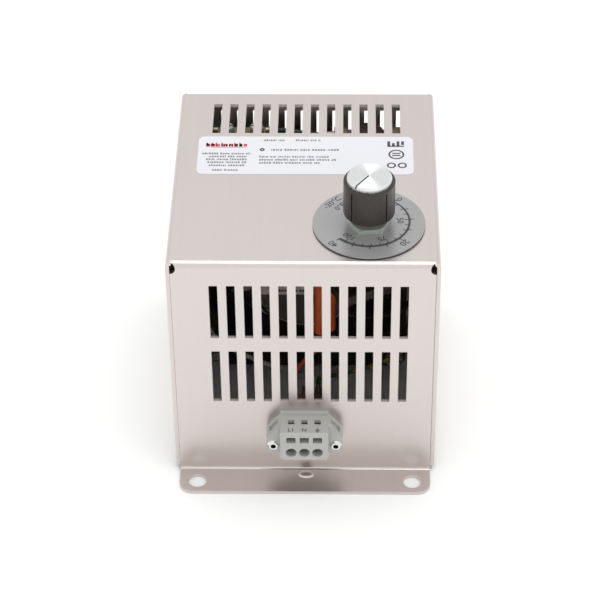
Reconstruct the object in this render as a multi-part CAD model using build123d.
from build123d import *
import math
import os

# Fan-driven enclosure heater with a dial thermostat, in millimetres.
# Origin: centre of the foot-hole pattern, on the plane that the feet stand on.
# +X right, +Y back (air outlet), +Z up. The terminal block faces -Y.

# ---- driving dimensions: folded housing ----
WIDTH = 101.6
DEPTH = 111.0
HEIGHT = 104.7
SHEET = 1.5
BEND_OUT = 2.4
BEND_IN = BEND_OUT - SHEET
WALL_STRIP = 98.2            # width of the front and back walls and their feet
SIDE_DEPTH = 108.6           # the side walls end short of the front and back faces
SIDE_BOTTOM = 2.2
FOOT_REACH = 13.1
FOOT_CORNER = 5.0
FOOT_HOLE_D = 7.1
FOOT_PITCH_X = 84.2
FOOT_PITCH_Y = 125.5
RELIEF_R = 2.3               # round corner relief where three bends meet
SLOT_COUNT = 12
SLOT_PITCH = 6.45
SLOT_W = 3.25
WALL_SLOT_X = 2.07           # the wall slots sit a little right of centre
SLOT_ROWS = ((37.0, 62.4), (69.0, 94.4))
BACK_SLOT_RISE = 2.1          # the rows in the back wall sit higher
TOP_SLOT_Y = (26.9, 46.7)

# ---- driving dimensions: thermostat, dial and knob ----
DIAL_X = 24.3
DIAL_Y = -31.5
DIAL_D = 42.2
DIAL_T = 0.5
SPACER_T = 0.4
NUT_AF = 14.3
NUT_T = 2.0
BUSH_R = 4.7
BUSH_HOLE_R = 4.85
SHAFT_R = 3.1
RUN_GAP = 0.05
KNOB_R = 9.6
KNOB_GAP = 6.5               # knob skirt above the top sheet
KNOB_RIM = 20.8              # knob rim above the top sheet
KNOB_REST = 232.5            # pointer direction at rest, counter-clockwise from +X
KNOB_HOT = -10.5             # knob travel from rest to the hot stop
KNOB_COLD = 268.5            # knob travel from rest to the cold stop
THERMO_TURN = 26.0           # the thermostat sits turned under the dial
CAM_R_MAX = 7.0
CAM_R_MIN = 4.6
NOSE_R = 1.3
CAM_GAP = 0.15

# ---- driving dimensions: terminal block ----
TB_X = 0.05
TB_HALF = 9.25
TB_EAR = 14.75
TB_Z = (17.3, 31.15)
TB_DEPTH = 11.85
EAR_DEPTH = 7.0
POLE_PITCH = 5.08
ENTRY_R = 2.1
ENTRY_L = 2.8                # length of each round wire entry
ENTRY_Z = 21.1
RIVET_X = 12.1
RIVET_Z = 20.5

# ---- driving dimensions: fan, bulkhead and heater ----
FAN_SIZE = 80.0
FAN_DEPTH = 25.5
FAN_BORE_R = 38.3
FAN_HOLE_PITCH = 71.5
FAN_FRONT_Y = -6.0
FAN_Z = 52.0
HUB_R = 21.5
HUB_LABEL_R = 19.6
TIP_R = 37.5
BLADE_COUNT = 7
BULK_T = 1.2
CARD_X = (-32.0, -16.0, 0.0, 16.0, 32.0)
CARD_T = 1.0
CARD_Y = (25.0, 45.0)
RAIL_T = 1.0
CARD_Z = (13.0, 90.0)
RIBBON_T = 0.3
RIBBON_W = 1.6
RIBBON_PITCH = 4.4
RIBBON_TURNS = 15
LEAD_D = 1.9
FAN_LEAD_D = 1.3

FRONT_Y = -DEPTH / 2
INNER_Y = DEPTH / 2 - SHEET
INNER_X = WIDTH / 2 - SHEET
CEILING = HEIGHT - SHEET
BULK_Y = FAN_FRONT_Y + FAN_DEPTH

STANDING = (Align.CENTER, Align.CENTER, Align.MIN)

os.makedirs("parts", exist_ok=True)
parts = {}


# ---- small builders ----
def block(x0, x1, y0, y1, z0, z1):
    """A box between two opposite corners."""
    centre = Pos((x0 + x1) / 2, (y0 + y1) / 2, (z0 + z1) / 2)
    return centre * Box(abs(x1 - x0), abs(y1 - y0), abs(z1 - z0))


def rod_x(x0, x1, y, z, radius):
    return Pos((x0 + x1) / 2, y, z) * Rot(0, 90, 0) * Cylinder(radius, abs(x1 - x0))


def rod_y(y0, y1, x, z, radius):
    return Pos(x, (y0 + y1) / 2, z) * Rot(90, 0, 0) * Cylinder(radius, abs(y1 - y0))


def rod_z(z0, z1, x, y, radius):
    return Pos(x, y, (z0 + z1) / 2) * Cylinder(radius, abs(z1 - z0))


def tube_z(z0, z1, x, y, outer, inner):
    return rod_z(z0, z1, x, y, outer) - rod_z(z0 - 1, z1 + 1, x, y, inner)


def tube_y(y0, y1, x, z, outer, inner):
    return rod_y(y0, y1, x, z, outer) - rod_y(y0 - 1, y1 + 1, x, z, inner)


def hexagon(across_flats, thickness, turn=0.0):
    """A hexagonal prism on the XY plane, centred on Z."""
    outline = RegularPolygon(across_flats / math.sqrt(3), 6, rotation=turn)
    return extrude(outline, amount=thickness)


def capsule(start, end, radius, z0, z1):
    """A flat bar with round ends, standing on z0."""
    angle = math.degrees(math.atan2(end[1] - start[1], end[0] - start[0]))
    middle = Pos((start[0] + end[0]) / 2, (start[1] + end[1]) / 2, z0)
    outline = middle * SlotCenterToCenter(math.dist(start, end), 2 * radius, rotation=angle)
    return extrude(outline, amount=z1 - z0)


def outline_x(points, radii, half_width):
    """A closed YZ outline with rounded corners, extruded both ways along X."""
    wire = FilletPolyline(*points, radius=radii, close=True)
    face = Plane.YZ * make_face(wire)
    return extrude(face, amount=half_width, both=True)


def outline_y(points, radii, half_width):
    """A closed XZ outline with rounded corners, extruded both ways along Y."""
    wire = FilletPolyline(*points, radius=radii, close=True)
    face = Plane.XZ * make_face(wire)
    return extrude(face, amount=half_width, both=True)


def lead(points, diameter):
    """A held wire: straight runs joined by arcs as large as the runs allow."""
    vectors = [Vector(*p) for p in points]
    radii = []
    for before, here, after in zip(vectors, vectors[1:], vectors[2:]):
        turn = math.radians((here - before).get_angle(after - here))
        shorter = min((here - before).length, (after - here).length)
        radii.append(0.45 * shorter / math.tan(turn / 2))
    path = FilletPolyline(*vectors, radius=radii)
    section = Plane(origin=vectors[0], z_dir=vectors[1] - vectors[0]) * Circle(diameter / 2)
    solid = sweep(section, path=path)
    ideal = math.pi * diameter ** 2 / 4 * path.length
    print(f"lead: smallest radius {min(radii):.1f}, volume ratio {solid.volume / ideal:.4f}")
    return solid


def group(*solids):
    """Separate solids of one node."""
    flat = []
    for item in solids:
        flat.extend(item.solids())
    return Compound(children=flat)


# ---- housing: one sheet, with the top and four walls folded down ----
def make_housing():
    foot_y = DEPTH / 2 + FOOT_REACH
    half_d = DEPTH / 2
    strip_points = [
        (-foot_y, 0), (-INNER_Y, 0), (-INNER_Y, CEILING), (INNER_Y, CEILING), (INNER_Y, 0),
        (foot_y, 0), (foot_y, SHEET), (half_d, SHEET), (half_d, HEIGHT), (-half_d, HEIGHT),
        (-half_d, SHEET), (-foot_y, SHEET),
    ]
    under = [0, BEND_OUT, BEND_IN, BEND_IN, BEND_OUT, 0]
    over = [0, BEND_IN, BEND_OUT, BEND_OUT, BEND_IN, 0]
    strip = outline_x(strip_points, under + over, WALL_STRIP / 2)
    corners = strip.edges().filter_by(Axis.Z).filter_by(lambda e: abs(e.center().Y) > foot_y - 0.1)
    strip = fillet(corners, FOOT_CORNER)
    for sx in (-1, 1):
        for sy in (-1, 1):
            strip -= Pos(sx * WALL_STRIP / 2, sy * (half_d - 0.9), HEIGHT - 2.5) * Sphere(RELIEF_R)

    half_w = WIDTH / 2
    side_points = [
        (-half_w, SIDE_BOTTOM), (-half_w, HEIGHT), (half_w, HEIGHT), (half_w, SIDE_BOTTOM),
        (INNER_X, SIDE_BOTTOM), (INNER_X, CEILING), (-INNER_X, CEILING), (-INNER_X, SIDE_BOTTOM),
    ]
    side_radii = [0, BEND_OUT, BEND_OUT, 0, 0, BEND_IN, BEND_IN, 0]
    sides = outline_y(side_points, side_radii, SIDE_DEPTH / 2)
    inside_strip = WALL_STRIP / 2 - 0.6
    for sy in (-1, 1):
        y0 = sy * (half_d - BEND_OUT)
        y1 = sy * (SIDE_DEPTH / 2 + 1)
        sides -= block(-inside_strip, inside_strip, y0, y1, HEIGHT - 3, HEIGHT + 1)
    shell = strip + sides

    for k in range(SLOT_COUNT):
        offset = (k - (SLOT_COUNT - 1) / 2) * SLOT_PITCH
        for z0, z1 in SLOT_ROWS:
            x0 = WALL_SLOT_X + offset - SLOT_W / 2
            x1 = x0 + SLOT_W
            shell -= block(x0, x1, -half_d - 1, 1 - INNER_Y, z0, z1)
            shell -= block(x0, x1, INNER_Y - 1, half_d + 1, z0 + BACK_SLOT_RISE, z1 + BACK_SLOT_RISE)
        shell -= block(offset - SLOT_W / 2, offset + SLOT_W / 2, *TOP_SLOT_Y, CEILING - 1, HEIGHT + 1)

    for sx in (-1, 1):
        for sy in (-1, 1):
            x = sx * FOOT_PITCH_X / 2
            y = sy * FOOT_PITCH_Y / 2
            shell -= rod_z(-1, SHEET + 1, x, y, FOOT_HOLE_D / 2)
        shell -= rod_y(FRONT_Y - 1, FRONT_Y + SHEET + 1, TB_X + sx * RIVET_X, RIVET_Z, 1.65)
    shell -= rod_z(CEILING - 1, HEIGHT + 1, DIAL_X, DIAL_Y, BUSH_HOLE_R)
    shell -= block(TB_X - 8.8, TB_X + 8.8, FRONT_Y - 1, FRONT_Y + SHEET + 1, 18.0, 30.4)

    # small gusset pressed into each foot beside the bend
    for sy in (-1, 1):
        bump = scale(Sphere(1), by=(3.3, 2.3, 1.3))
        dent = scale(Sphere(1), by=(2.4, 1.5, 0.9))
        shell += Pos(0.5, sy * (half_d + 3.4), SHEET - 0.2) * bump
        shell -= Pos(0.5, sy * (half_d + 3.4), 0) * dent
    return shell


parts["housing_shell"] = make_housing()


# ---- printed label, kept blank here ----
def make_label():
    outline = Pos(-0.1, 12.05, HEIGHT) * RectangleRounded(83.8, 24.7, 2.5)
    return extrude(outline, amount=0.12)


parts["rating_label"] = make_label()


# ---- bulkhead that carries the fan, with side tabs welded to the walls ----
TAB_END_Y = 31.0
GROMMET_X = 44.0
GROMMET_Z = 72.0
GROMMET_R = 3.5
GROUND_X = 43.8
GROUND_Z = 10.0
RAIL_SCREW_X = 12.0
RAIL_SCREW_Z = (8.0, 96.0)


def make_bulkhead():
    inner = BULK_T / 2
    points = [
        (-INNER_X, TAB_END_Y), (-INNER_X, BULK_Y), (INNER_X, BULK_Y), (INNER_X, TAB_END_Y),
        (INNER_X - BULK_T, TAB_END_Y), (INNER_X - BULK_T, BULK_Y + BULK_T),
        (-INNER_X + BULK_T, BULK_Y + BULK_T), (-INNER_X + BULK_T, TAB_END_Y),
    ]
    radii = [0, inner + BULK_T, inner + BULK_T, 0, 0, inner, inner, 0]
    face = make_face(FilletPolyline(*points, radius=radii, close=True))
    plate = Pos(0, 0, 3.0) * extrude(face, amount=CEILING - 1.0 - 3.0)
    plate -= rod_y(BULK_Y - 1, BULK_Y + 3, 0, FAN_Z, FAN_BORE_R + 0.2)
    half = FAN_HOLE_PITCH / 2
    for sx in (-1, 1):
        for sz in (-1, 1):
            plate -= rod_y(BULK_Y - 1, BULK_Y + 3, sx * half, FAN_Z + sz * half, 2.15)
        for z in RAIL_SCREW_Z:
            plate -= rod_y(BULK_Y - 1, BULK_Y + 3, sx * RAIL_SCREW_X, z, 1.6)
        plate -= rod_y(BULK_Y - 1, BULK_Y + 3, sx * GROMMET_X, GROMMET_Z, 2.6)
    plate -= rod_y(BULK_Y - 1, BULK_Y + 3, GROUND_X, GROUND_Z, 2.1)
    return plate


parts["fan_bulkhead"] = make_bulkhead()


def make_grommet(x):
    groove_y = BULK_Y + BULK_T / 2
    body = rod_y(groove_y - 2.2, groove_y + 2.2, x, GROMMET_Z, GROMMET_R)
    body -= tube_y(BULK_Y, BULK_Y + BULK_T, x, GROMMET_Z, 6, 2.5)
    return body - rod_y(groove_y - 4, groove_y + 4, x, GROMMET_Z, LEAD_D / 2 + 0.1)


parts["lead_grommets"] = group(make_grommet(GROMMET_X), make_grommet(-GROMMET_X))

# ---- terminal block ----
TB_FRONT = FRONT_Y - TB_DEPTH
EAR_FRONT = FRONT_Y - EAR_DEPTH
NECK_BACK = FRONT_Y + 9.5
POLES = [TB_X + k * POLE_PITCH for k in (-1, 0, 1)]
BAR_Z = (23.7, 24.5)
BAR_BACK = FRONT_Y + 17.5


def make_terminal_housing():
    z0, z1 = TB_Z
    body = block(TB_X - TB_HALF, TB_X + TB_HALF, TB_FRONT, FRONT_Y, z0, z1)
    body = chamfer(body.edges().filter_by(Axis.Y).group_by(Axis.Z)[0], 1.1)
    body = fillet(body.edges().filter_by(Axis.X).group_by(Axis.Y)[0].group_by(Axis.Z)[-1], 0.6)
    body += block(TB_X - TB_HALF, TB_X + TB_HALF, FRONT_Y - 1.5, FRONT_Y, z1, z1 + 1.15)
    for side in (-1, 1):
        ear_points = [(8.0, 16.6), (13.6, 16.6), (TB_EAR, 17.8), (TB_EAR, 24.4), (9.25, 30.9), (8.0, 30.9)]
        wire = FilletPolyline(*ear_points, radius=[0, 0.6, 0.6, 1.0, 0.4, 0], close=True)
        ear = extrude(Pos(0, FRONT_Y, 0) * (Plane.XZ * make_face(wire)), amount=EAR_DEPTH)
        trough = Pos(12.2, FRONT_Y - EAR_DEPTH / 2, 27.8) * Rot(0, 49.8, 0) * Box(5.6, 3.2, 2.6)
        ear -= trough
        ear -= rod_y(EAR_FRONT - 1, FRONT_Y + 1, RIVET_X, RIVET_Z, 1.65)
        if side < 0:
            ear = mirror(ear, about=Plane.YZ)
        body += Pos(TB_X, 0, 0) * ear
    body += block(TB_X - 8.6, TB_X + 8.6, FRONT_Y, NECK_BACK, 18.2, 30.2)
    for x in POLES:
        body -= block(x - 1.95, x + 1.95, TB_FRONT + ENTRY_L, FRONT_Y + 5.5, 18.9, 29.5)
        body -= rod_y(TB_FRONT - 1, TB_FRONT + ENTRY_L, x, ENTRY_Z, ENTRY_R)
        body -= block(x - 1.75, x + 1.75, TB_FRONT - 1, TB_FRONT + 5, 26.1, 28.9)
        body -= block(x - 1.2, x + 1.2, FRONT_Y - 6.5, FRONT_Y - 4.1, 29.0, z1 + 1)
        body -= block(x - 1.25, x + 1.25, FRONT_Y, NECK_BACK + 1, BAR_Z[0] - 0.05, BAR_Z[1] + 0.05)
    return body


parts["terminal_housing"] = make_terminal_housing()


def make_contact_bar(x):
    bar = block(x - 1.2, x + 1.2, TB_FRONT + 3.4, BAR_BACK, *BAR_Z)
    return chamfer(bar.edges().filter_by(Axis.Z).group_by(Axis.Y)[-1], 0.6)


parts["terminal_contacts"] = group(*[make_contact_bar(x) for x in POLES])


def make_clamp_spring(x):
    """A cage clamp: a bent strip whose front leg has a window for the bar and the wire."""
    leg_y = TB_FRONT + 5.2
    points = [(leg_y, 19.4), (leg_y, 28.9), (leg_y + 4.6, 28.9), (leg_y + 9.2, 24.75)]
    path = FilletPolyline(*points, radius=[1.4, 1.6])
    strip = extrude(Plane.YZ * trace(path, line_width=0.4), amount=1.7, both=True)
    strip -= block(-1.3, 1.3, leg_y - 1, leg_y + 1, 20.0, 25.2)
    strip = Pos(x, 0, 0) * strip
    return strip - block(x - 2, x + 2, leg_y + 1, leg_y + 14, 20.0, BAR_Z[1] + 0.02)


parts["terminal_springs"] = group(*[make_clamp_spring(x) for x in POLES])


def make_terminal_rivet(x):
    rivet = rod_y(EAR_FRONT, FRONT_Y + SHEET, x, RIVET_Z, 1.6)
    head = Pos(x, EAR_FRONT, RIVET_Z) * Rot(90, 0, 0) * Cone(2.35, 1.7, 0.8, align=STANDING)
    tail = rod_y(FRONT_Y + SHEET, FRONT_Y + SHEET + 0.7, x, RIVET_Z, 2.3)
    return rivet + head + tail - rod_y(EAR_FRONT - 3, FRONT_Y + 6, x, RIVET_Z, 1.05)


parts["terminal_rivets"] = group(make_terminal_rivet(TB_X - RIVET_X), make_terminal_rivet(TB_X + RIVET_X))

# ---- thermostat under the top sheet ----
YOKE_T = 1.2
YOKE_Z = CEILING - YOKE_T
BASE_Z = (82.0, 86.0)
CAM_Z = (90.0, 93.5)
LEVER_Z = (90.5, 93.0)
PILLARS = ((12.5, 11.0), (12.5, -11.0), (-2.5, -12.0), (1.5, 12.0))
PIN_AT = (-7.8, 11.0)
PIN_R = 1.2
CAM_SLOPE = (CAM_R_MAX - CAM_R_MIN) / (KNOB_COLD - KNOB_HOT)
REST_CAM_R = CAM_R_MAX + CAM_SLOPE * KNOB_HOT
NOSE_AT = (-(REST_CAM_R + NOSE_R + CAM_GAP), 0.0)
LEVER_END = (-12.0, -9.0)
BLADE_X = -15.5
CONTACT_R = 1.5


def at_dial(solid):
    """Move from the dial's own axis to its place in the case."""
    return Pos(DIAL_X, DIAL_Y, 0) * solid


def at_thermostat(solid):
    """The same, with the thermostat's own turn about the dial's axis."""
    return at_dial(Rot(0, 0, THERMO_TURN) * solid)


def make_yoke():
    outline = Pos(0, 0, YOKE_Z) * RectangleRounded(34, 30, 2)
    plate = extrude(outline, amount=YOKE_T)
    plate -= rod_z(YOKE_Z - 1, CEILING + 1, 0, 0, BUSH_HOLE_R)
    for x, y in PILLARS:
        plate -= rod_z(YOKE_Z - 1, CEILING + 1, x, y, 1.45)
    plate -= rod_z(YOKE_Z - 1, CEILING + 1, *PIN_AT, PIN_R + 0.02)
    return at_thermostat(plate)


parts["thermostat_yoke"] = make_yoke()


def make_base():
    outline = Pos(-1, 0, BASE_Z[0]) * RectangleRounded(34, 30, 2)
    plate = extrude(outline, amount=BASE_Z[1] - BASE_Z[0])
    for x, y in PILLARS:
        plate -= rod_z(BASE_Z[0] - 1, BASE_Z[1] + 1, x, y, 1.45)
    plate -= rod_z(BASE_Z[0] + 1.2, BASE_Z[1] + 1, 0, 0, 2.0 + RUN_GAP)
    plate -= rod_z(BASE_Z[0] + 2.4, BASE_Z[1] + 1, *PIN_AT, PIN_R + 0.02)
    for x0, x1 in ((-14.0, -12.2), (-5.9, -4.1)):
        plate -= block(x0, x1, 10.5, 11.5, BASE_Z[0] - 1, BASE_Z[1] + 1)
    return at_thermostat(plate)


parts["thermostat_base"] = make_base()


def make_pillar(x, y):
    pillar = rod_z(BASE_Z[1], YOKE_Z, x, y, 2.2)
    pillar += rod_z(BASE_Z[0] - 0.1, CEILING - 0.05, x, y, 1.4)
    return at_thermostat(pillar + rod_z(BASE_Z[0] - 1.1, BASE_Z[0], x, y, 2.4))


parts["thermostat_pillars"] = group(*[make_pillar(x, y) for x, y in PILLARS])


def make_bushing():
    bushing = tube_z(YOKE_Z - 1.5, HEIGHT + 4.2, 0, 0, BUSH_R, SHAFT_R + RUN_GAP)
    bushing += tube_z(YOKE_Z - 1.5, YOKE_Z, 0, 0, 6.6, SHAFT_R + RUN_GAP)
    for k in range(5):
        z = HEIGHT + 0.9 + 0.8 * k
        bushing -= tube_z(z, z + 0.3, 0, 0, BUSH_R + 1, BUSH_R - 0.35)
    return at_dial(bushing)


parts["thermostat_bushing"] = make_bushing()
parts["dial_spacer"] = at_dial(tube_z(HEIGHT, HEIGHT + SPACER_T, 0, 0, 7.2, BUSH_HOLE_R))
DIAL_Z = HEIGHT + SPACER_T
parts["dial_plate"] = at_dial(tube_z(DIAL_Z, DIAL_Z + DIAL_T, 0, 0, DIAL_D / 2, BUSH_HOLE_R))


def make_nut():
    nut_z = DIAL_Z + DIAL_T
    nut = Pos(0, 0, nut_z) * hexagon(NUT_AF, NUT_T, 6.0)
    chamfer_cone = Cone(NUT_AF / 2 + 7.0, NUT_AF / 2 + 0.15, 4.0, align=STANDING)
    nut = nut & (Pos(0, 0, nut_z + NUT_T - 4.0) * chamfer_cone)
    return at_dial(nut - rod_z(nut_z - 1, nut_z + 4, 0, 0, BUSH_R + 0.02))


parts["mounting_nut"] = make_nut()

# ---- turning pieces of the thermostat ----
SHAFT_TOP = HEIGHT + 19.0


def make_shaft():
    shaft = rod_z(BASE_Z[1] + 0.1, SHAFT_TOP, 0, 0, SHAFT_R)
    shaft += rod_z(BASE_Z[0] + 1.5, BASE_Z[1] + 0.5, 0, 0, 2.0)
    shaft -= tube_z(YOKE_Z - 2.5, YOKE_Z - 1.7, 0, 0, SHAFT_R + 1, SHAFT_R - 0.5)
    return at_dial(shaft)


parts["thermostat_shaft"] = make_shaft()


def make_circlip():
    clip = tube_z(YOKE_Z - 2.45, YOKE_Z - 1.75, 0, 0, 5.0, SHAFT_R - 0.45)
    clip -= block(0, 8, -1.6, 1.6, YOKE_Z - 4, YOKE_Z)
    return at_dial(clip)


parts["shaft_circlip"] = make_circlip()


def make_cam():
    """A snail cam whose radius grows evenly over the knob's travel."""
    margin = 8.0
    first = 180.0 - KNOB_COLD - margin
    last = 180.0 - KNOB_HOT + margin
    steps = 20

    def spiral(k):
        angle = first + (last - first) * k / steps
        radius = CAM_R_MIN + CAM_SLOPE * (angle - 180.0 + KNOB_COLD)
        return (radius * math.cos(math.radians(angle)), radius * math.sin(math.radians(angle)))

    curve = Spline(*[spiral(k) for k in range(steps + 1)])
    drop = Line(curve @ 1, curve @ 0)
    cam = Pos(0, 0, CAM_Z[0]) * extrude(make_face(curve + drop), amount=CAM_Z[1] - CAM_Z[0])
    return at_thermostat(cam - rod_z(CAM_Z[0] - 1, CAM_Z[1] + 1, 0, 0, SHAFT_R))


parts["set_cam"] = make_cam()


def make_lever():
    lever = capsule(PIN_AT, NOSE_AT, 1.1, *LEVER_Z) + capsule(NOSE_AT, LEVER_END, 1.1, *LEVER_Z)
    lever += rod_z(*LEVER_Z, *NOSE_AT, NOSE_R) + rod_z(*LEVER_Z, *PIN_AT, 2.6)
    lever += block(LEVER_END[0] - 1.1, LEVER_END[0], LEVER_END[1] - 1.6, LEVER_END[1] + 1.6, *LEVER_Z)
    return at_thermostat(lever - rod_z(LEVER_Z[0] - 1, LEVER_Z[1] + 1, *PIN_AT, PIN_R + RUN_GAP))


parts["contact_lever"] = make_lever()
CONTACT_Z = (LEVER_Z[0] + LEVER_Z[1]) / 2
LEVER_FACE = LEVER_END[0] - 1.1
moving_tip = rod_x(LEVER_FACE - 0.8, LEVER_FACE, LEVER_END[1], CONTACT_Z, CONTACT_R)
parts["lever_contact"] = at_thermostat(moving_tip)
collar = rod_z(BASE_Z[1] + 0.6, LEVER_Z[0] - 0.1, *PIN_AT, 2.2)
parts["lever_pin"] = at_thermostat(collar + rod_z(BASE_Z[0] + 2.5, CEILING - 0.1, *PIN_AT, PIN_R))
parts["bimetal_blade"] = at_thermostat(block(BLADE_X, BLADE_X + 0.5, -12, 14, 88.5, 95.0))
fixed_tip = rod_x(BLADE_X + 0.5, LEVER_FACE - 1.1, LEVER_END[1], CONTACT_Z, CONTACT_R)
parts["blade_contact"] = at_thermostat(fixed_tip)


def make_thermostat_terminals():
    post = block(BLADE_X + 0.5, -11.2, 8.0, 14.0, BASE_Z[1], 97.0)
    post += block(-13.9, -12.3, 10.6, 11.4, BASE_Z[0], BASE_Z[1])
    post += block(-16.25, -9.95, 10.6, 11.4, 72.0, BASE_Z[0])
    strap = block(-10.0, -4.2, 9.4, 12.6, BASE_Z[1], BASE_Z[1] + 0.6)
    strap -= rod_z(BASE_Z[1] - 1, BASE_Z[1] + 2, *PIN_AT, PIN_R + 0.02)
    strap += block(-5.8, -4.2, 10.6, 11.4, BASE_Z[0], BASE_Z[1] + 0.3)
    strap += block(-8.15, -1.85, 10.6, 11.4, 72.0, BASE_Z[0])
    return group(at_thermostat(post), at_thermostat(strap))


parts["thermostat_terminals"] = make_thermostat_terminals()

# ---- knob ----
KNOB_Z = HEIGHT + KNOB_GAP
RIM_Z = HEIGHT + KNOB_RIM
CAP_FLOOR = RIM_Z - 0.9
CAP_R = 8.35
CAP_WALL = 1.1               # the cap stands this far above the rim before its bevel
INSERT_R = 4.6
FACET_WIDE = 84.0            # wide grip facet; narrow ones fill the rest of 120 degrees
GROOVE_W = 0.55
GROOVE_D = 0.6


def make_knob_body():
    body = rod_z(KNOB_Z, RIM_Z, 0, 0, KNOB_R)
    body = chamfer(body.edges().filter_by(GeomType.CIRCLE).group_by(Axis.Z)[-1], 0.25)
    for k in range(3):
        for side in (-1, 1):
            angle = 269.2 + 120.0 * k + side * FACET_WIDE / 2
            half = GROOVE_W / 2
            groove = block(KNOB_R - GROOVE_D, KNOB_R + 1, -half, half, KNOB_Z - 1, RIM_Z - 1.2)
            body -= Rot(0, 0, angle) * groove
    body -= rod_z(CAP_FLOOR, RIM_Z + 1, 0, 0, CAP_R + 0.05)
    body -= rod_z(KNOB_Z - 1, KNOB_Z + 1.5, 0, 0, 8.0)
    body -= rod_z(KNOB_Z - 1, SHAFT_TOP + 0.4, 0, 0, INSERT_R)
    body -= Rot(0, 0, KNOB_REST + 180) * rod_x(0, KNOB_R + 1, 0, KNOB_Z + 5.5, 1.5)
    return at_dial(body)


parts["knob_body"] = make_knob_body()


def make_knob_insert():
    insert = tube_z(KNOB_Z + 1.5, SHAFT_TOP + 0.4, 0, 0, INSERT_R, SHAFT_R)
    insert -= Rot(0, 0, KNOB_REST + 180) * rod_x(0, KNOB_R + 1, 0, KNOB_Z + 5.5, 1.5)
    return at_dial(insert)


parts["knob_insert"] = make_knob_insert()


def make_set_screw():
    screw = rod_x(SHAFT_R, SHAFT_R + 5.0, 0, KNOB_Z + 5.5, 1.5)
    socket = Pos(SHAFT_R + 5.0, 0, KNOB_Z + 5.5) * Rot(0, -90, 0) * hexagon(1.5, 1.6)
    return at_dial(Rot(0, 0, KNOB_REST + 180) * (screw - socket))


parts["knob_set_screw"] = make_set_screw()


def make_cap_solid():
    """A spun disc: a shallow cone inside a bevelled rim."""
    bevel = CAP_R - 0.5
    points = [
        (0, CAP_FLOOR), (CAP_R, CAP_FLOOR), (CAP_R, RIM_Z + CAP_WALL),
        (bevel, RIM_Z + CAP_WALL + 0.85), (0, RIM_Z + CAP_WALL + 1.15),
    ]
    return revolve(Plane.XZ * make_face(Polyline(*points, close=True)), axis=Axis.Z)


def make_cap_and_pointer():
    cap = make_cap_solid()
    slab = Rot(0, 0, KNOB_REST) * block(0.4, CAP_R + 1, -0.32, 0.32, CAP_FLOOR, RIM_Z + 3)
    pointer = (cap & slab) - Pos(0, 0, -0.15) * cap
    return at_dial(cap - pointer), at_dial(pointer)


parts["knob_cap"], parts["knob_pointer"] = make_cap_and_pointer()


# ---- axial fan, built with its axis on Z and its inlet face at zero ----
def at_fan(solid):
    return Pos(0, FAN_FRONT_Y, FAN_Z) * Rot(-90, 0, 0) * solid


FLANGE_T = 3.5
TUBE_OUT = 5.5
TUBE_IN = 4.0
BASE_R = 20.0
BASE_T = 3.0
LEAD_BOSS_X = 8.5            # the two fan leads enter a small boss on the motor base
LEAD_BOSS_Z = 62.0


def make_fan_frame():
    flange = RectangleRounded(FAN_SIZE, FAN_SIZE, 4.0)
    frame = extrude(flange, amount=FLANGE_T)
    frame += Pos(0, 0, FAN_DEPTH - FLANGE_T) * extrude(flange, amount=FLANGE_T)
    frame += rod_z(0, FAN_DEPTH, 0, 0, FAN_BORE_R + 1.6)
    frame -= rod_z(-1, FAN_DEPTH + 1, 0, 0, FAN_BORE_R)
    for sx in (-1, 1):
        for sy in (-1, 1):
            x = sx * FAN_HOLE_PITCH / 2
            y = sy * FAN_HOLE_PITCH / 2
            frame -= rod_z(-1, FAN_DEPTH + 1, x, y, 2.15)
    for k in range(4):
        strut = block(BASE_R - 1, FAN_BORE_R + 0.8, -1.8, 1.8, FAN_DEPTH - 2.6, FAN_DEPTH)
        frame += Rot(0, 0, 45 + 90 * k) * strut
    frame += rod_z(FAN_DEPTH - BASE_T, FAN_DEPTH, 0, 0, BASE_R)
    frame += rod_z(9.0, FAN_DEPTH - BASE_T, 0, 0, TUBE_OUT)
    boss_y = FAN_Z - LEAD_BOSS_Z
    frame += block(-LEAD_BOSS_X - 3, -LEAD_BOSS_X + 3, boss_y, boss_y + 6, FAN_DEPTH, FAN_DEPTH + 2.5)
    frame -= rod_z(8.0, FAN_DEPTH - 0.8, 0, 0, TUBE_IN)
    return at_fan(frame)


parts["fan_frame"] = make_fan_frame()
parts["fan_bearings"] = group(*[
    at_fan(tube_z(z, z + 3.0, 0, 0, TUBE_IN, 1.5 + RUN_GAP)) for z in (9.5, 18.5)
])

STATOR_Z = (12.0, 20.0)
POLE_SPAN = 62.0
GAP_R = 14.5


def make_stator():
    core = tube_z(*STATOR_Z, 0, 0, 8.5, TUBE_OUT)
    for k in range(4):
        neck = block(8.0, 13.0, -2.5, 2.5, *STATOR_Z)
        arc = tube_z(*STATOR_Z, 0, 0, GAP_R, 12.4)
        half = math.radians(POLE_SPAN / 2)
        reach = 20.0
        tip_x = reach * math.cos(half)
        tip_y = reach * math.sin(half)
        wedge = make_face(Polyline((0, 0), (tip_x, -tip_y), (tip_x, tip_y), close=True))
        shoe = arc & (Pos(0, 0, STATOR_Z[0]) * extrude(wedge, amount=STATOR_Z[1] - STATOR_Z[0]))
        core += Rot(0, 0, 90 * k) * (neck + shoe)
    return at_fan(core)


parts["fan_stator"] = make_stator()


def make_coil(k):
    coil = block(8.8, 11.3, -4.7, 4.7, STATOR_Z[0] - 1.9, STATOR_Z[1] + 1.9)
    coil = fillet(coil.edges().filter_by(Axis.X), 1.2)
    coil -= block(7.0, 13.0, -2.55, 2.55, STATOR_Z[0] - 0.05, STATOR_Z[1] + 0.05)
    return at_fan(Rot(0, 0, 90 * k) * coil)


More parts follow.
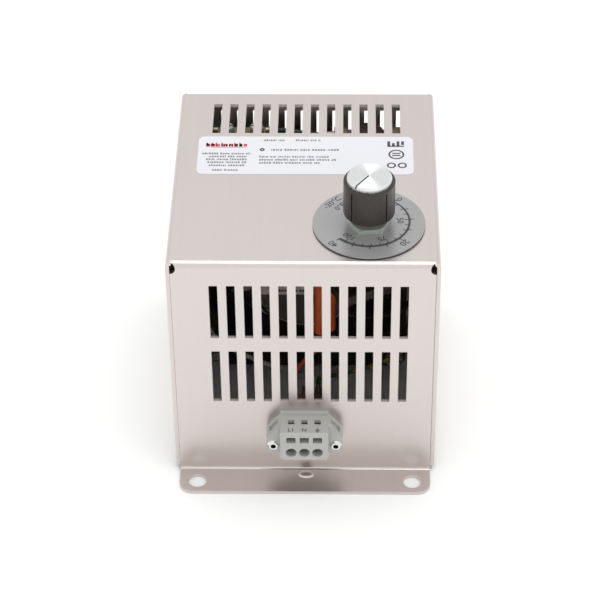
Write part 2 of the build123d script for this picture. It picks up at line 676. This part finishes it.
parts["fan_coils"] = group(*[make_coil(k) for k in range(4)])
parts["fan_shaft"] = at_fan(rod_z(4.0, 22.0, 0, 0, 1.5))
RING_IN = 15.1
RING_OUT = 19.0
CUP_END = 20.5
parts["fan_rotor_ring"] = at_fan(tube_z(7.5, CUP_END, 0, 0, RING_OUT, RING_IN))


def blade_section(radius, chord, pitch, camber):
    """A thin cambered blade section facing along the blade's radius."""
    cosine = math.cos(math.radians(pitch))
    sine = math.sin(math.radians(pitch))

    def turned(u, v):
        return (u * cosine - v * sine, u * sine + v * cosine)

    half = chord / 2
    thick = 0.75
    front = ThreePointArc(turned(-half, -thick), turned(0, camber - thick), turned(half, -thick))
    back = ThreePointArc(turned(half, thick), turned(0, camber + thick), turned(-half, thick))
    wire = front + Line(front @ 1, back @ 0) + back + Line(back @ 1, front @ 0)
    plane = Plane(origin=(radius, 0, 10.5), x_dir=(0, 0, 1), z_dir=(1, 0, 0))
    return plane * make_face(wire)


def make_impeller():
    cup = rod_z(1.5, CUP_END, 0, 0, HUB_R) - rod_z(4.0, CUP_END + 1, 0, 0, RING_OUT)
    cup = fillet(cup.edges().filter_by(GeomType.CIRCLE).group_by(Axis.Z)[0], 1.2)
    cup += rod_z(3.5, 8.5, 0, 0, 3.6)
    cup -= rod_z(4.0, 9.0, 0, 0, 1.5)
    blade = loft([blade_section(HUB_R - 0.9, 19.0, 38.0, 1.6), blade_section(TIP_R - 0.4, 21.0, 58.0, 1.2)])
    blade = blade & tube_z(2.0, 19.5, 0, 0, TIP_R, HUB_R - 0.7)
    for k in range(BLADE_COUNT):
        cup += Rot(0, 0, 360 / BLADE_COUNT * k) * blade
    return at_fan(cup)


parts["fan_impeller"] = make_impeller()
parts["fan_hub_label"] = at_fan(rod_z(1.3, 1.5, 0, 0, HUB_LABEL_R))


def make_pan_screw(head_y, tip_y, x, z, radius, head_r, head_t):
    """A pan-head screw along +Y whose head bears at head_y."""
    head = rod_y(head_y - head_t, head_y, x, z, head_r)
    head = fillet(head.edges().filter_by(GeomType.CIRCLE).group_by(Axis.Y)[0], head_t * 0.45)
    head -= block(x - head_r, x + head_r, head_y - head_t - 1, head_y - head_t * 0.5, z - 0.45, z + 0.45)
    return head + rod_y(head_y, tip_y, x, z, radius)


def make_hex_nut(y0, y1, x, z, across, bore):
    """A hexagonal nut with its flats facing left and right."""
    body = Pos(x, y0, z) * Rot(-90, 0, 0) * hexagon(across, y1 - y0, 30.0)
    return body - rod_y(y0 - 1, y1 + 1, x, z, bore)


FAN_HOLES = [
    (sx * FAN_HOLE_PITCH / 2, FAN_Z + sz * FAN_HOLE_PITCH / 2) for sx in (-1, 1) for sz in (-1, 1)
]
parts["fan_screws"] = group(*[
    make_pan_screw(FAN_FRONT_Y, BULK_Y + 4.5, x, z, 1.95, 3.8, 2.4) for x, z in FAN_HOLES
])
parts["fan_nuts"] = group(*[
    make_hex_nut(BULK_Y + BULK_T, BULK_Y + BULK_T + 3.0, x, z, 7.0, 1.95) for x, z in FAN_HOLES
])

# ---- heater: mica cards wound with resistance ribbon, between two rails ----
RAIL_FRONT = BULK_Y + BULK_T
RAIL_BACK = 45.6
RAIL_NARROW = 30.0
RAIL_WIDE = 38.0
TAB_Y = (31.0, 33.5)
STRIP_X = (-37.0, -15.0)
STRIP_Y = (34.0, 43.0)
STRIP_Z = (CARD_Z[1] + RAIL_T, CARD_Z[1] + RAIL_T + 5.0)
POST_X = (-20.0, -32.0)
POST_Y = 38.5
CUT_X = 24.1
CUT_Y = 38.0
CUT_EAR = 10.9
CUT_REACH = 12.6             # centre to tab tip


def make_card(x):
    card = block(x - CARD_T / 2, x + CARD_T / 2, *CARD_Y, *CARD_Z)
    for z0, z1 in ((CARD_Z[0] - RAIL_T, CARD_Z[0]), (CARD_Z[1], CARD_Z[1] + RAIL_T)):
        card += block(x - CARD_T / 2, x + CARD_T / 2, *TAB_Y, z0, z1)
    return card


parts["heater_cards"] = group(*[make_card(x) for x in CARD_X])


def make_ribbon(x):
    """One ribbon wound up a card: level across its left face, rising across its right face."""
    first = 19.0
    left = x - CARD_T / 2
    right = x + CARD_T / 2
    y0, y1 = CARD_Y
    half = RIBBON_W / 2
    ribbon = None
    for k in range(RIBBON_TURNS):
        z = first + RIBBON_PITCH * k
        level = block(left - RIBBON_T, left, y0 - RIBBON_T, y1 + RIBBON_T, z - half, z + half)
        level += block(left, right, y1, y1 + RIBBON_T, z - half, z + half)
        level += block(left, right, y0 - RIBBON_T, y0, z - half, z + half)
        ribbon = level if ribbon is None else ribbon + level
        if k < RIBBON_TURNS - 1:
            corners = [
                (y1 + RIBBON_T, z - half), (y1 + RIBBON_T, z + half),
                (y0 - RIBBON_T, z + RIBBON_PITCH + half), (y0 - RIBBON_T, z + RIBBON_PITCH - half),
            ]
            face = Pos(right, 0, 0) * (Plane.YZ * make_face(Polyline(*corners, close=True)))
            ribbon += extrude(face, amount=RIBBON_T)
    return ribbon


parts["heater_ribbons"] = group(*[make_ribbon(x) for x in CARD_X])


def make_rail(z_web, flange_z, top):
    web = block(-RAIL_WIDE, RAIL_WIDE, CARD_Y[0], RAIL_BACK, z_web, z_web + RAIL_T)
    web += block(-RAIL_NARROW, RAIL_NARROW, RAIL_FRONT, CARD_Y[0], z_web, z_web + RAIL_T)
    flange = block(-RAIL_NARROW, RAIL_NARROW, RAIL_FRONT, RAIL_FRONT + RAIL_T, *flange_z)
    rail = web + flange
    for x in CARD_X:
        rail -= block(x - CARD_T / 2, x + CARD_T / 2, *TAB_Y, z_web - 1, z_web + 2)
    screw_z = RAIL_SCREW_Z[1] if top else RAIL_SCREW_Z[0]
    for sx in (-1, 1):
        rail -= rod_y(RAIL_FRONT - 1, RAIL_FRONT + 3, sx * RAIL_SCREW_X, screw_z, 1.5)
    if top:
        rail -= block(-28.4, -23.6, 22.3, 24.5, z_web - 1, z_web + 2)
        rail -= block(-20.8, -17.6, 23.6, 25.4, z_web - 1, z_web + 2)
        for x in POST_X:
            rail -= rod_z(z_web - 1, z_web + 2, x, POST_Y, 2.6)
        for side in (-1, 1):
            rail -= rod_z(z_web - 1, z_web + 2, CUT_X + side * CUT_EAR, CUT_Y, 1.25)
    return rail


bottom_rail = make_rail(CARD_Z[0] - RAIL_T, (4.5, CARD_Z[0]), False)
top_rail = make_rail(CARD_Z[1], (CARD_Z[1], 99.5), True)
parts["heater_rails"] = group(bottom_rail, top_rail)
parts["rail_screws"] = group(*[
    make_pan_screw(BULK_Y, RAIL_FRONT + 3.0, sx * RAIL_SCREW_X, z, 1.5, 2.8, 1.8)
    for sx in (-1, 1) for z in RAIL_SCREW_Z
])


def make_bus_bars():
    """Two strips that join the ribbon ends and rise to the terminal strip."""
    y1 = CARD_Y[0] - RIBBON_T
    y0 = y1 - 0.5
    pad_z = STRIP_Z[1]
    z_low = 19.0
    z_high = 19.0 + RIBBON_PITCH * (RIBBON_TURNS - 1)
    upper = block(-32.8, 32.8, y0, y1, z_high - 1.2, z_high + 1.2)
    upper += block(-20.4, -18.0, y0, y1, z_high, pad_z + 0.5)
    upper += block(-20.4, -18.0, y0, POST_Y, pad_z, pad_z + 0.5)
    upper += rod_z(pad_z, pad_z + 0.5, POST_X[0], POST_Y, 3.0)
    upper -= rod_z(pad_z - 1, pad_z + 2, POST_X[0], POST_Y, 1.5)
    lower = block(-35.2, 32.8, y0, y1, z_low - 1.2, z_low + 1.2)
    lower += block(-35.2, -32.8, y0, y1, z_low, pad_z + 0.5)
    lower += block(-35.2, -32.8, y0, POST_Y, pad_z, pad_z + 0.5)
    lower += rod_z(pad_z, pad_z + 0.5, POST_X[1], POST_Y, 3.0)
    lower -= rod_z(pad_z - 1, pad_z + 2, POST_X[1], POST_Y, 1.5)
    return group(upper, lower)


parts["heater_bus_bars"] = make_bus_bars()


def make_strip():
    """Glazed ceramic terminal strip with two posts and a rib between them."""
    strip = block(*STRIP_X, *STRIP_Y, *STRIP_Z)
    strip = fillet(strip.edges().filter_by(Axis.Z), 1.5)
    strip += block(-27.0, -25.0, *STRIP_Y, STRIP_Z[1], STRIP_Z[1] + 2.5)
    for x in POST_X:
        strip -= rod_z(STRIP_Z[0] - 1, STRIP_Z[1] + 4, x, POST_Y, 1.55)
    return strip


parts["heater_terminal_strip"] = make_strip()
LUG_T = 0.8


def make_post_screw(x, lug_count):
    head_z = STRIP_Z[1] + 0.5 + LUG_T * lug_count
    head = rod_z(head_z, head_z + 2.0, x, POST_Y, 2.7)
    head = fillet(head.edges().filter_by(GeomType.CIRCLE).group_by(Axis.Z)[-1], 0.8)
    head -= block(x - 3, x + 3, POST_Y - 0.4, POST_Y + 0.4, head_z + 1.1, head_z + 3)
    return head + rod_z(STRIP_Z[0] - 0.6, head_z, x, POST_Y, 1.45)


parts["strip_screws"] = group(*[make_post_screw(x, 2) for x in POST_X])

# ---- over-temperature cut-out on the top rail ----
CUT_FLOOR = CARD_Z[1] + RAIL_T
CUT_TAB_Z = (CUT_FLOOR + 4.6, CUT_FLOOR + 5.4)


def make_cutout_cap():
    cap = rod_z(CUT_FLOOR, CUT_FLOOR + 2.0, CUT_X, CUT_Y, 8.2)
    for side in (-1, 1):
        ear_x = CUT_X + side * CUT_EAR
        cap += capsule((CUT_X, CUT_Y), (ear_x, CUT_Y), 2.9, CUT_FLOOR, CUT_FLOOR + 0.6)
        cap -= rod_z(CUT_FLOOR - 1, CUT_FLOOR + 3, ear_x, CUT_Y, 1.25)
    return cap


def make_cutout_tab(side):
    tab = block(CUT_X + side * 1.6, CUT_X + side * CUT_REACH, CUT_Y - 3.15, CUT_Y + 3.15, *CUT_TAB_Z)
    return tab - rod_z(CUT_TAB_Z[0] - 1, CUT_TAB_Z[1] + 1, CUT_X + side * 10.8, CUT_Y, 0.8)


def make_cutout_body():
    body = rod_z(CUT_FLOOR + 2.0, CUT_TAB_Z[0], CUT_X, CUT_Y, 7.6)
    body += rod_z(CUT_TAB_Z[0], CUT_TAB_Z[1] + 0.9, CUT_X, CUT_Y, 6.6)
    for side in (-1, 1):
        body -= block(CUT_X + side * 1.6, CUT_X + side * 12, CUT_Y - 3.15, CUT_Y + 3.15, *CUT_TAB_Z)
    return body


def make_cutout_rivet(side):
    x = CUT_X + side * CUT_EAR
    rivet = rod_z(CARD_Z[1], CUT_FLOOR + 0.6, x, CUT_Y, 1.2)
    rivet += rod_z(CUT_FLOOR + 0.6, CUT_FLOOR + 1.3, x, CUT_Y, 2.1)
    return rivet + rod_z(CARD_Z[1] - 0.7, CARD_Z[1], x, CUT_Y, 1.9)


parts["cutout_cap"] = make_cutout_cap()
parts["cutout_body"] = make_cutout_body()
parts["cutout_tabs"] = group(make_cutout_tab(-1), make_cutout_tab(1))
parts["cutout_rivets"] = group(make_cutout_rivet(-1), make_cutout_rivet(1))

# ---- push-on receptacles, ring lugs and leads ----
BAR_MID_Z = sum(BAR_Z) / 2
BLOCK_LEAD_Y = BAR_BACK + 4.6
TAB_BOTTOM = 72.0
THERMO_LEAD_Z = TAB_BOTTOM - 6.0
SLEEVE_Z = (49.4, 79.5)
CUT_MID_Z = sum(CUT_TAB_Z) / 2


def make_block_receptacle(x):
    sleeve = block(x - 1.85, x + 1.85, BAR_BACK - 6.0, BAR_BACK + 0.6, BAR_Z[0] - 0.7, BAR_Z[1] + 0.7)
    sleeve -= block(x - 1.2, x + 1.2, BAR_BACK - 8.0, BAR_BACK, *BAR_Z)
    return sleeve + rod_y(BAR_BACK + 0.6, BLOCK_LEAD_Y, x, BAR_MID_Z, 1.3)


def make_thermostat_receptacle(tab_x):
    sleeve = block(tab_x - 3.55, tab_x + 3.55, 9.8, 12.2, TAB_BOTTOM - 1.0, TAB_BOTTOM + 7.0)
    sleeve -= block(tab_x - 3.15, tab_x + 3.15, 10.6, 11.4, TAB_BOTTOM, TAB_BOTTOM + 9.0)
    return at_thermostat(sleeve + rod_z(THERMO_LEAD_Z, TAB_BOTTOM - 1.0, tab_x, 11.0, 1.5))


def make_cutout_receptacle(side):
    inner = CUT_X + side * 8.2
    tip = CUT_X + side * CUT_REACH
    outer = tip + side * 0.6
    sleeve = block(inner, outer, CUT_Y - 3.9, CUT_Y + 3.9, CUT_TAB_Z[0] - 0.7, CUT_TAB_Z[1] + 0.7)
    sleeve -= block(inner - side, tip, CUT_Y - 3.15, CUT_Y + 3.15, *CUT_TAB_Z)
    barrel_end = outer + side * 3.0
    return sleeve + rod_x(min(outer, barrel_end), max(outer, barrel_end), CUT_Y, CUT_MID_Z, 1.5)


THERMO_TABS = (-13.1, -5.0)
parts["lead_receptacles"] = group(
    *[make_block_receptacle(x) for x in POLES],
    *[make_thermostat_receptacle(x) for x in THERMO_TABS],
    *[make_cutout_receptacle(side) for side in (-1, 1)],
)
LUG_R = 2.9
LUG_BASE = STRIP_Z[1] + 0.5
EARTH_BARREL_R = 1.4


def make_ring_lug(radius, hole, barrel_r, reach, barrel):
    """A ring lug on the XY plane with its barrel along +X."""
    lug = rod_z(0, LUG_T, 0, 0, radius)
    lug += block(0, reach + 0.5, -1.2, 1.2, 0, LUG_T)
    lug += rod_x(reach, reach + barrel, 0, barrel_r, barrel_r)
    return lug - rod_z(-1, LUG_T + 1, 0, 0, hole)


def on_post(lug, index, angle, level):
    return Pos(POST_X[index], POST_Y, LUG_BASE + level * LUG_T) * Rot(0, 0, angle) * lug


lead_lug = make_ring_lug(LUG_R, 1.5, 1.3, 3.6, 4.0)
fan_lug = make_ring_lug(LUG_R, 1.5, 0.95, 3.6, 3.2)
upright = Rot(90, 0, 0) * (Rot(0, 0, 90) * make_ring_lug(3.4, 2.0, EARTH_BARREL_R, 4.2, 4.2))
earth_lug = Pos(GROUND_X, BULK_Y, GROUND_Z) * upright
parts["ring_lugs"] = group(
    on_post(lead_lug, 0, 0, 0), on_post(fan_lug, 0, -90, 1),
    on_post(lead_lug, 1, 180, 0), on_post(fan_lug, 1, -90, 1), earth_lug,
)


def make_ground_fixings():
    washer_front = BULK_Y - LUG_T - 0.7
    washer = tube_y(washer_front, BULK_Y - LUG_T, GROUND_X, GROUND_Z, 3.5, 2.0)
    screw = make_pan_screw(washer_front, BULK_Y + 4.6, GROUND_X, GROUND_Z, 1.95, 3.5, 2.2)
    nut = make_hex_nut(BULK_Y + BULK_T, BULK_Y + BULK_T + 2.8, GROUND_X, GROUND_Z, 7.0, 1.95)
    return group(washer, screw, nut)


parts["ground_fixings"] = make_ground_fixings()



def thermostat_lead_end(tab_x):
    place = at_thermostat(Pos(tab_x, 11.0, THERMO_LEAD_Z)).position
    return (place.X, place.Y, place.Z)


BLACK_START = thermostat_lead_end(THERMO_TABS[1])
ORANGE_END = thermostat_lead_end(THERMO_TABS[0])
LUG_LEAD_Z = LUG_BASE + 1.3
EARTH_END_Y = BULK_Y - EARTH_BARREL_R
CUT_LEAD_R = CUT_X + CUT_REACH + 3.6
CUT_LEAD_L = CUT_X - CUT_REACH - 3.6

FIRST_BEND_Y = -27.0

parts["line_lead"] = lead([
    (POLES[0], BLOCK_LEAD_Y, BAR_MID_Z), (POLES[0], FIRST_BEND_Y + 3.0, BAR_MID_Z), (4.0, -20.0, 33.0),
    (ORANGE_END[0], ORANGE_END[1], 43.0), ORANGE_END,
], LEAD_D)
parts["switched_lead"] = lead([
    BLACK_START, (BLACK_START[0], BLACK_START[1], 55.0), (26.0, -17.0, 47.0), (40.0, -11.5, 46.0),
    (GROMMET_X, -2.0, 53.0), (GROMMET_X, 5.0, 64.0), (GROMMET_X, 12.0, GROMMET_Z),
    (GROMMET_X, 30.0, GROMMET_Z), (45.4, 36.0, 81.0), (46.2, CUT_Y, 90.0), (45.2, CUT_Y, CUT_MID_Z),
    (CUT_LEAD_R, CUT_Y, CUT_MID_Z),
], LEAD_D)
parts["neutral_lead"] = lead([
    (POLES[1], BLOCK_LEAD_Y, BAR_MID_Z), (POLES[1], FIRST_BEND_Y, BAR_MID_Z), (-5.0, -17.0, 18.0),
    (-20.0, -11.5, 19.0), (-37.0, -11.5, 30.0), (-GROMMET_X, -3.0, 42.0), (-GROMMET_X, 3.0, 53.0),
    (-GROMMET_X, 7.5, 63.5), (-GROMMET_X, 12.0, GROMMET_Z), (-GROMMET_X, 30.0, GROMMET_Z),
    (-45.6, 36.0, 81.0), (-46.2, POST_Y, 91.0), (-45.0, POST_Y, LUG_LEAD_Z),
    (POST_X[1] - 7.6, POST_Y, LUG_LEAD_Z),
], LEAD_D)
parts["earth_lead"] = lead([
    (POLES[2], BLOCK_LEAD_Y, BAR_MID_Z), (POLES[2], FIRST_BEND_Y, BAR_MID_Z), (12.0, -18.0, 17.0),
    (27.0, -12.5, 17.0), (41.0, -11.0, 25.0), (GROUND_X, -1.0, 34.0), (GROUND_X, 10.0, 38.0),
    (GROUND_X, EARTH_END_Y, 32.0), (GROUND_X, EARTH_END_Y, GROUND_Z + 8.4),
], LEAD_D)
parts["jumper_lead"] = lead([
    (CUT_LEAD_L, CUT_Y, CUT_MID_Z), (CUT_LEAD_L - 3.5, CUT_Y, CUT_MID_Z),
    (POST_X[0] + 11.0, POST_Y, LUG_LEAD_Z), (POST_X[0] + 7.6, POST_Y, LUG_LEAD_Z),
], LEAD_D)


def make_line_sleeve():
    """A flattened insulating sleeve over the line receptacle and the end of its lead."""
    centre = Pos(THERMO_TABS[0], 11.0, SLEEVE_Z[0])
    outer = centre * SlotOverall(8.8, 4.4)
    inner = centre * SlotOverall(8.2, 3.8)
    return at_thermostat(extrude(outer - inner, amount=SLEEVE_Z[1] - SLEEVE_Z[0]))


parts["line_sleeve"] = make_line_sleeve()


def make_fan_lead(index, hole_x, base_x):
    top_z = LUG_BASE + LUG_T + 0.95
    boss_y = BULK_Y + 1.45
    post_x = POST_X[index]
    return lead([
        (post_x, POST_Y - 6.8, top_z), (post_x, POST_Y - 11.0, top_z), (hole_x, 23.4, top_z - 4.5),
        (hole_x, 23.4, 84.0), (base_x, boss_y + 0.6, 72.0), (base_x, boss_y, 66.5),
        (base_x, boss_y, LEAD_BOSS_Z),
    ], FAN_LEAD_D)


parts["fan_leads"] = group(
    make_fan_lead(0, -25.0, -LEAD_BOSS_X + 1.5), make_fan_lead(1, -27.0, -LEAD_BOSS_X - 1.5),
)

for name, shape in parts.items():
    export_step(shape, f"parts/{name}.step")
print(len(parts), "nodes")
